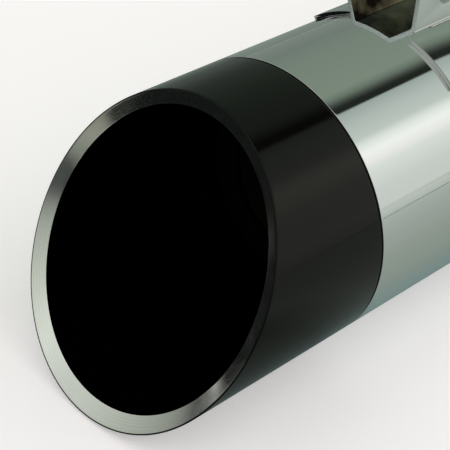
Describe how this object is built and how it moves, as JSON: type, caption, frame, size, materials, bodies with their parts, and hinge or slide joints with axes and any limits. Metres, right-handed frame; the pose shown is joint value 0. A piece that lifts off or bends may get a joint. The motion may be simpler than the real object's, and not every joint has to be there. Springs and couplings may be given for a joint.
{
  "type": "motorcycle slip-on muffler",
  "caption": "Straight round slip-on muffler with a chrome shell, a black slash-cut tip with a bright machined rim, a welded hanger bracket and a clamped slip-joint inlet.",
  "frame": {"origin": "centre of the inlet sleeve's mouth", "axes": "+Y along the muffler's axis, out of the inlet, so the tip faces -Y; +Z towards the hanger bracket; +X the side its mounting plate faces"},
  "size_m": [0.1032, 0.7029, 0.1339],
  "materials": {
    "chrome": "polished chrome plate on steel",
    "black_tip": "satin black coating, machined bright on the rim",
    "black_screw": "black oxide",
    "zinc_steel": "zinc plate",
    "stainless": "brushed stainless steel",
    "weld": "plated weld bead",
    "inner_steel": "plain pressed steel",
    "black_inner_steel": "heat-proof black paint",
    "gasket": "pressed graphite fibre",
    "glass_wool": "glass-fibre wadding"
  },
  "bodies": {
    "muffler": {"tip": "black_tip", "tip_gasket": "gasket", "tip_screws": "black_screw", "tip_nuts": "zinc_steel", "outer_shell": "chrome", "reducing_cone": "chrome", "shell_weld": "weld", "inlet_sleeve": "stainless", "inlet_weld": "weld", "front_bulkhead": "inner_steel", "rear_bulkhead": "black_inner_steel", "core_tube": "inner_steel", "core_front_ring": "inner_steel", "core_collar": "black_inner_steel", "core_screws": "black_screw", "mesh_wrap": "inner_steel", "glass_packing": "glass_wool", "bracket_channel": "chrome", "bracket_saddle": "chrome", "bracket_welds": "weld", "bracket_nuts": "zinc_steel"},
    "clamp": {"clamp_band": "stainless", "clamp_block": "zinc_steel", "clamp_bolt": "zinc_steel"},
    "washer": {"clamp_washer": "zinc_steel"},
    "nut": {"clamp_nut": "zinc_steel"}
  },
  "joints": [
    {"name": "clamp_swivel", "type": "hinge", "parent": "muffler", "child": "clamp", "pos_m": [0, -0.022, 0], "axis": [0, 1, 0], "continuous": true},
    {"name": "washer_travel", "type": "slide", "parent": "clamp", "child": "washer", "axis": [1, 0, 0], "range_m": [0, 0.005]},
    {"name": "nut_turn", "type": "hinge", "parent": "washer", "child": "nut", "pos_m": [0.0151, -0.022, -0.037], "axis": [1, 0, 0], "range_deg": [0, 1440]}
  ],
  "couplings": [
    {"joint": "washer_travel", "follows": "nut_turn", "m_per_rad": 0.00019894}
  ]
}
